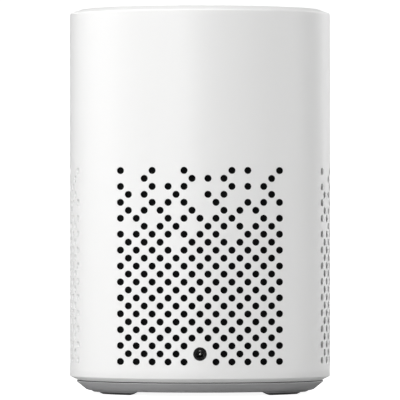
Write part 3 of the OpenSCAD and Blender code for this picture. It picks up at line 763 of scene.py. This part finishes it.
def fibreboard(name, colour):
    """Pressed fibre sheet with its fibres drawn out along one side."""
    s = Shader(name, colour, 0.7)
    fibres = s.noise(1800, 5, 0.7, stretch=(0.3, 1, 1))
    s.tint(fibres, 0.3)
    s.bump(fibres, 2e-5)
    s.rough(s.between(fibres, 0.6, 0.82))
    return s.material


def shell_plastic(name, colour):
    """The shell's white plastic: satin, with a very fine texture."""
    s = Shader(name, colour, 0.46, specular=0.42)
    flow = s.noise(22, 2, 0.5, stretch=(1, 1, 0.3))
    s.tint(flow, 0.006)
    fine = s.noise(11000, 2, 0.55)
    s.rough(s.between(s.maths("ADD", flow, fine), 0.42, 0.52, 0.5, 1.5))
    s.bump(fine, 1.6e-6)
    return s.material


CLOTH_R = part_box("grille_cloth")[1].x

# For each of the record's slots: how it is made, its colour, and what else is set.
# A colour of None is the record's own; the others are set to look right in the studio's light.
RECIPES = {
    "shell_white": (shell_plastic, (0.83, 0.83, 0.825), {}),
    "panel_white": (moulded, None, {"rough": 0.5, "depth": 3e-6}),
    "key_white": (moulded, None, {"rough": 0.4, "depth": 1.5e-6}),
    "light_diffuser": (diffuser, None, {}),
    "grille_cloth": (woven, (0.004, 0.004, 0.0042), {"pitch": 0.32 * MM, "radius": CLOTH_R}),
    "base_grey": (
        moulded, (0.43, 0.43, 0.435), {"rough": 0.55, "grain": 5200, "depth": 8e-6, "specular": 0.4},
    ),
    "foot_rubber": (rubber, (0.035, 0.035, 0.036), {}),
    "seal_rubber": (rubber, None, {}),
    "screw_steel": (metal, None, {"rough": 0.3}),
    "screw_black": (metal, (0.12, 0.12, 0.125), {"rough": 0.42}),
    "board_green": (board, None, {}),
    "chip_black": (chip, None, {}),
    "tin": (metal, None, {"rough": 0.34, "along": "x"}),
    "led_body": (lamp, None, {}),
    "mic_can": (metal, None, {"rough": 0.28, "along": "x"}),
    "chassis_plastic": (moulded, None, {"rough": 0.55}),
    "enclosure_plastic": (moulded, None, {"rough": 0.5, "grain": 4200, "depth": 1.2e-5}),
    "reflector_plastic": (moulded, None, {"rough": 0.42}),
    "connector_ivory": (moulded, None, {"rough": 0.36, "depth": 2e-6}),
    "inductor_ferrite": (ferrite, None, {}),
    "capacitor_can": (metal, None, {"rough": 0.3, "along": "z"}),
    "ribbon_film": (film, None, {}),
    "antenna_copper": (foil, None, {}),
    "lead_black": (sleeve, None, {}),
    "lead_red": (sleeve, None, {}),
    "basket_steel": (moulded, None, {"rough": 0.45, "grain": 3500, "depth": 1.6e-5}),
    "plate_steel": (turned_metal, None, {"rough": 0.32}),
    "magnet_ferrite": (ferrite, None, {}),
    "terminal_fibre": (fibreboard, None, {}),
    "surround_rubber": (rubber, None, {"rough": 0.6}),
    "spider_cloth": (spun, None, {}),
    "cone_paper": (spun, None, {"rough": 0.8}),
    "former_foil": (metal, None, {"rough": 0.35, "along": "z"}),
    "coil_copper": (winding, None, {}),
    "socket_black": (moulded, (0.003, 0.003, 0.003), {"rough": 0.2, "depth": 5e-7, "specular": 0.25}),
    # the contact's root is painted black as painted shade in the bore
    "contact_nickel": (contact, None, {"rough": 0.24, "painted_shade_below_y": PIN_ROOT_Y + 0.2 * MM}),
    "key_ink": (ink, (0.3, 0.31, 0.32), {}),
}


def build_materials():
    """One material for each slot."""
    return {
        slot: maker(slot, colour or COLOUR_OF[slot], **settings)
        for slot, (maker, colour, settings) in RECIPES.items()
    }


def carry_over(made):
    """Gives every CAD node that stays its own slot's material."""
    for name, obj in NODES.items():
        obj.data.materials.clear()
        obj.data.materials.append(made[SLOT_OF[name]])


# ---------------------------------------------------------------- keys' marks

def stroke(x0, y0, x1, y1, w):
    """A straight bar with round ends, as an outline."""
    length = math.hypot(x1 - x0, y1 - y0)
    a = math.atan2(y1 - y0, x1 - x0)
    points = []
    for end, start in ((length, -90), (0, 90)):
        for i in range(9):
            t = math.radians(start + 180 * i / 8)
            along, across = end + w / 2 * math.cos(t), w / 2 * math.sin(t)
            x = x0 + along * math.cos(a) - across * math.sin(a)
            y = y0 + along * math.sin(a) + across * math.cos(a)
            points.append((x, y))
    return points


def dot(r, n=48):
    """A disc's outline."""
    return [(r * math.cos(2 * math.pi * i / n), r * math.sin(2 * math.pi * i / n)) for i in range(n)]


def make_mark(key, outlines, material):
    """Raised ink on top of a key. Each outline stands a little higher than the last, so no faces coincide."""
    node = "key_" + key
    low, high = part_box(node)
    middle, z = ((low.x + high.x) / 2, (low.y + high.y) / 2), high.z
    parts = []
    for i, outline in enumerate(outlines):
        scaled = [(x * MM, y * MM) for x, y in outline]
        parts.append(prism(scaled, z, z + 0.03 * MM + i * 0.004 * MM, middle))
    piece = new_piece("mark_" + key, *joined(*parts), key + "_key", material=material)


def make_marks(material):
    """Plus, minus, a dot and a crossed microphone, with half lengths and widths in millimetres."""
    reach, width, thin = 1.5, 0.5, 0.4
    bar = stroke(-reach, 0, reach, 0, width)
    upright = stroke(0, -reach, 0, reach, width)
    capsule = stroke(0, 0.2, 0, 1.3, 1.1)
    stem = stroke(0, -1.7, 0, -0.9, thin)
    foot = stroke(-0.6, -1.7, 0.6, -1.7, thin)
    slash = stroke(-1.7, 1.7, 1.7, -1.4, thin)
    make_mark("volume_up", [bar, upright], material)
    make_mark("volume_down", [bar], material)
    make_mark("action", [dot(0.9)], material)
    make_mark("mic_mute", [capsule, stem, foot, slash], material)


# ---------------------------------------------------------------- inlet

def make_pin(material):
    """The inlet's centre pin: a thick root inside the body, and a thin pin with a rounded tip."""
    low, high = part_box("jack_pin")
    root_r, pin_r, tip_r = (high.x - low.x) / 2, 0.325 * MM, 0.2 * MM
    nearly_0 = 0.0001 * MM
    profile = [(root_r, low.y), (root_r, PIN_ROOT_Y), (pin_r, PIN_ROOT_Y)]
    profile += arc(pin_r - tip_r, high.y - tip_r, tip_r, 0, 90, 7)
    profile.append((nearly_0, high.y))
    upright, faces = revolved(profile, 40)
    axis_z = (low.z + high.z) / 2
    verts = [(x, z, axis_z - y) for x, y, z in upright]
    new_piece("inlet_pin", verts, faces, ROOT, "jack_pin", material)


# ---------------------------------------------------------------- driver

def make_driver_rings(made):
    """The rubber surround and the cloth spider, which hold the cone in its basket and let it move."""
    flexing_ring("driver_surround", made["surround_rubber"])
    flexing_ring("driver_spider", made["spider_cloth"])


# ---------------------------------------------------------------- stage

def make_floor():
    """A pale floor just under the feet, with a glow that only the camera sees."""
    half, z = 1.4, -0.05 * MM
    mesh = bpy.data.meshes.new("floor")
    corners = [(-half, -half), (half, -half), (half, half), (-half, half)]
    mesh.from_pydata([(x, y, z) for x, y in corners], [], [(0, 1, 2, 3)])
    floor = bpy.data.objects.new("floor", mesh)
    bpy.context.scene.collection.objects.link(floor)
    s = Shader("floor_white", (0.5, 0.5, 0.5), 0.8, specular=0.1)
    s.tint(s.noise(3, 2), 0.004)
    glow = s.node("ShaderNodeEmission")
    glow.inputs["Strength"].default_value = 0.92
    seen = s.node("ShaderNodeAddShader")
    path = s.node("ShaderNodeLightPath")
    mix = s.node("ShaderNodeMixShader")
    s.link(s.bsdf.outputs[0], seen.inputs[0])
    s.link(glow.outputs[0], seen.inputs[1])
    s.link(path.outputs["Is Camera Ray"], mix.inputs[0])
    s.link(s.bsdf.outputs[0], mix.inputs[1])
    s.link(seen.outputs[0], mix.inputs[2])
    s.link(mix.outputs[0], s.tree.nodes["Material Output"].inputs["Surface"])
    floor.data.materials.append(s.material)


def soft_box(name, azimuth, power, elevation=14, distance=1.9, width=0.5, height=1.2):
    """A soft box that faces the speaker. Azimuth 0 is on the camera's side and 90 is the image's left."""
    a, e = math.radians(azimuth), math.radians(elevation)
    centre = Vector((0, 0, 0.07))
    away = Vector((math.sin(a) * math.cos(e), math.cos(a) * math.cos(e), math.sin(e)))
    data = bpy.data.lights.new(name, "AREA")
    data.shape = "RECTANGLE"
    data.size, data.size_y = width, height
    data.energy = power
    light = bpy.data.objects.new(name, data)
    light.location = centre + distance * away
    light.rotation_euler = (-away).to_track_quat("-Z", "Y").to_euler()
    bpy.context.scene.collection.objects.link(light)


def make_lights():
    """Tall boxes behind, low ones in front and at the sides, near ones at the left and one overhead."""
    low = {"elevation": 2.5, "distance": 1.25, "height": 0.2}
    near = {"elevation": 32, "distance": 0.65, "width": 0.3, "height": 0.35}
    soft_box("rim_right", -135, 9.2)
    soft_box("back_right", -150, 4.9)
    soft_box("back_left", 120, 4.1)
    soft_box("key_low", 17, 6.5, width=0.3, **low)
    soft_box("side_right", -90, 4.1, width=0.6, **low)
    soft_box("side_left", 90, 2.1, width=0.6, **low)
    soft_box("key_near", 15, 1.15, **near)
    soft_box("left_near", 90, 1.15, **near)
    soft_box("zenith", 0, 16.5, elevation=89, distance=1.7, width=0.25, height=0.25)


def make_world():
    """A white surround that only the camera sees: the soft boxes give all the light."""
    world = bpy.data.worlds.new("studio")
    world.use_nodes = True
    tree = world.node_tree
    background = tree.nodes["Background"]
    background.inputs["Color"].default_value = (1, 1, 1, 1)
    background.inputs["Strength"].default_value = 0.0
    seen = tree.nodes.new("ShaderNodeBackground")
    seen.inputs["Color"].default_value = (1, 1, 1, 1)
    seen.inputs["Strength"].default_value = 1.1
    path = tree.nodes.new("ShaderNodeLightPath")
    mix = tree.nodes.new("ShaderNodeMixShader")
    tree.links.new(path.outputs["Is Camera Ray"], mix.inputs[0])
    tree.links.new(background.outputs[0], mix.inputs[1])
    tree.links.new(seen.outputs[0], mix.inputs[2])
    tree.links.new(mix.outputs[0], tree.nodes["World Output"].inputs["Surface"])
    bpy.context.scene.world = world


def make_camera():
    """Straight behind the speaker, level with its lower half, with a long lens."""
    distance, eye_z, aim_z = 2.057, 0.059, 0.0694
    data = bpy.data.cameras.new("camera")
    data.sensor_width = 36
    data.lens = 514.6
    data.clip_start, data.clip_end = 0.1, 20
    camera = bpy.data.objects.new("camera", data)
    camera.location = (0, distance, eye_z)
    aim = Vector((0, 0, aim_z)) - camera.location
    camera.rotation_euler = aim.to_track_quat("-Z", "Y").to_euler()
    bpy.context.scene.collection.objects.link(camera)
    bpy.context.scene.camera = camera


# ---------------------------------------------------------------- build

make_camera()
MATERIALS = build_materials()
carry_over(MATERIALS)
make_shell(MATERIALS["shell_white"])
make_cloth(MATERIALS["grille_cloth"])
softened("top_panel", 0.15 * MM, MATERIALS["panel_white"])
softened("light_ring", 0.2 * MM, MATERIALS["light_diffuser"])
for key in ("volume_up", "volume_down", "action", "mic_mute"):
    softened("key_" + key, 0.12 * MM, MATERIALS["key_white"])
make_marks(MATERIALS["key_ink"])
softened("base_cover", 0.2 * MM, MATERIALS["base_grey"], segments=3)
softened("feet", 0.15 * MM, MATERIALS["foot_rubber"], segments=3, angle=20)
softened("jack_body", 0.08 * MM, MATERIALS["socket_black"])
make_pin(MATERIALS["contact_nickel"])
make_driver_rings(MATERIALS)

make_floor()
make_lights()
make_world()
scene = bpy.context.scene
scene.view_settings.view_transform = "Standard"
scene.view_settings.look = "None"
